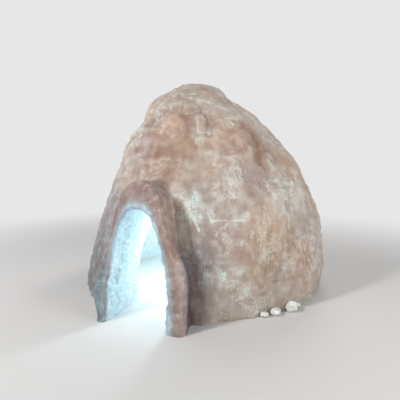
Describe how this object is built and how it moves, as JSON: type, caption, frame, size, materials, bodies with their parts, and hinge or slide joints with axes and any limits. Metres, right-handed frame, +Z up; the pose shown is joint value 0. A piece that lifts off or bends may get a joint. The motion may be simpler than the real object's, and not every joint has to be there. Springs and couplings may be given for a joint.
{
  "type": "igloo",
  "caption": "Domed snow-block shelter with an arched entrance passage under a projecting snow hood and a rounded, slightly leaning crown.",
  "frame": {"origin": "on the ground, under the middle of the whole building's box", "axes": "+Z up, the entrance faces -Y, so +Y is the building's depth from the hood to the back wall; +X is to the right of someone facing the entrance"},
  "size_m": [2.7128, 2.9371, 2.256],
  "materials": {
    "wall_snow": "packed snow, hand-smoothed, matt",
    "hood_snow": "packed snow, hand-smoothed, matt",
    "loose_snow": "crumbly snow, matt"
  },
  "bodies": {
    "root": {"course_1_odd_blocks": "wall_snow", "course_1_even_blocks": "wall_snow", "course_2_odd_blocks": "wall_snow", "course_2_even_blocks": "wall_snow", "course_3_odd_blocks": "wall_snow", "course_3_even_blocks": "wall_snow", "course_4_odd_blocks": "wall_snow", "course_4_even_blocks": "wall_snow", "course_5_odd_blocks": "wall_snow", "course_5_even_blocks": "wall_snow", "course_6_odd_blocks": "wall_snow", "course_6_even_blocks": "wall_snow", "course_7_odd_blocks": "wall_snow", "course_7_even_blocks": "wall_snow", "course_8_odd_blocks": "wall_snow", "course_8_even_blocks": "wall_snow", "passage_lintel_block": "wall_snow", "key_block": "wall_snow", "hood_left_lower_jamb": "hood_snow", "hood_left_upper_jamb": "hood_snow", "hood_left_haunch": "hood_snow", "hood_left_shoulder": "hood_snow", "hood_right_lower_jamb": "hood_snow", "hood_right_upper_jamb": "hood_snow", "hood_right_haunch": "hood_snow", "hood_right_shoulder": "hood_snow", "hood_crown_block": "hood_snow", "foot_lump_large": "loose_snow", "foot_lump_middle": "loose_snow", "foot_lump_small": "loose_snow", "foot_lump_crumb": "loose_snow"}
  },
  "joints": []
}
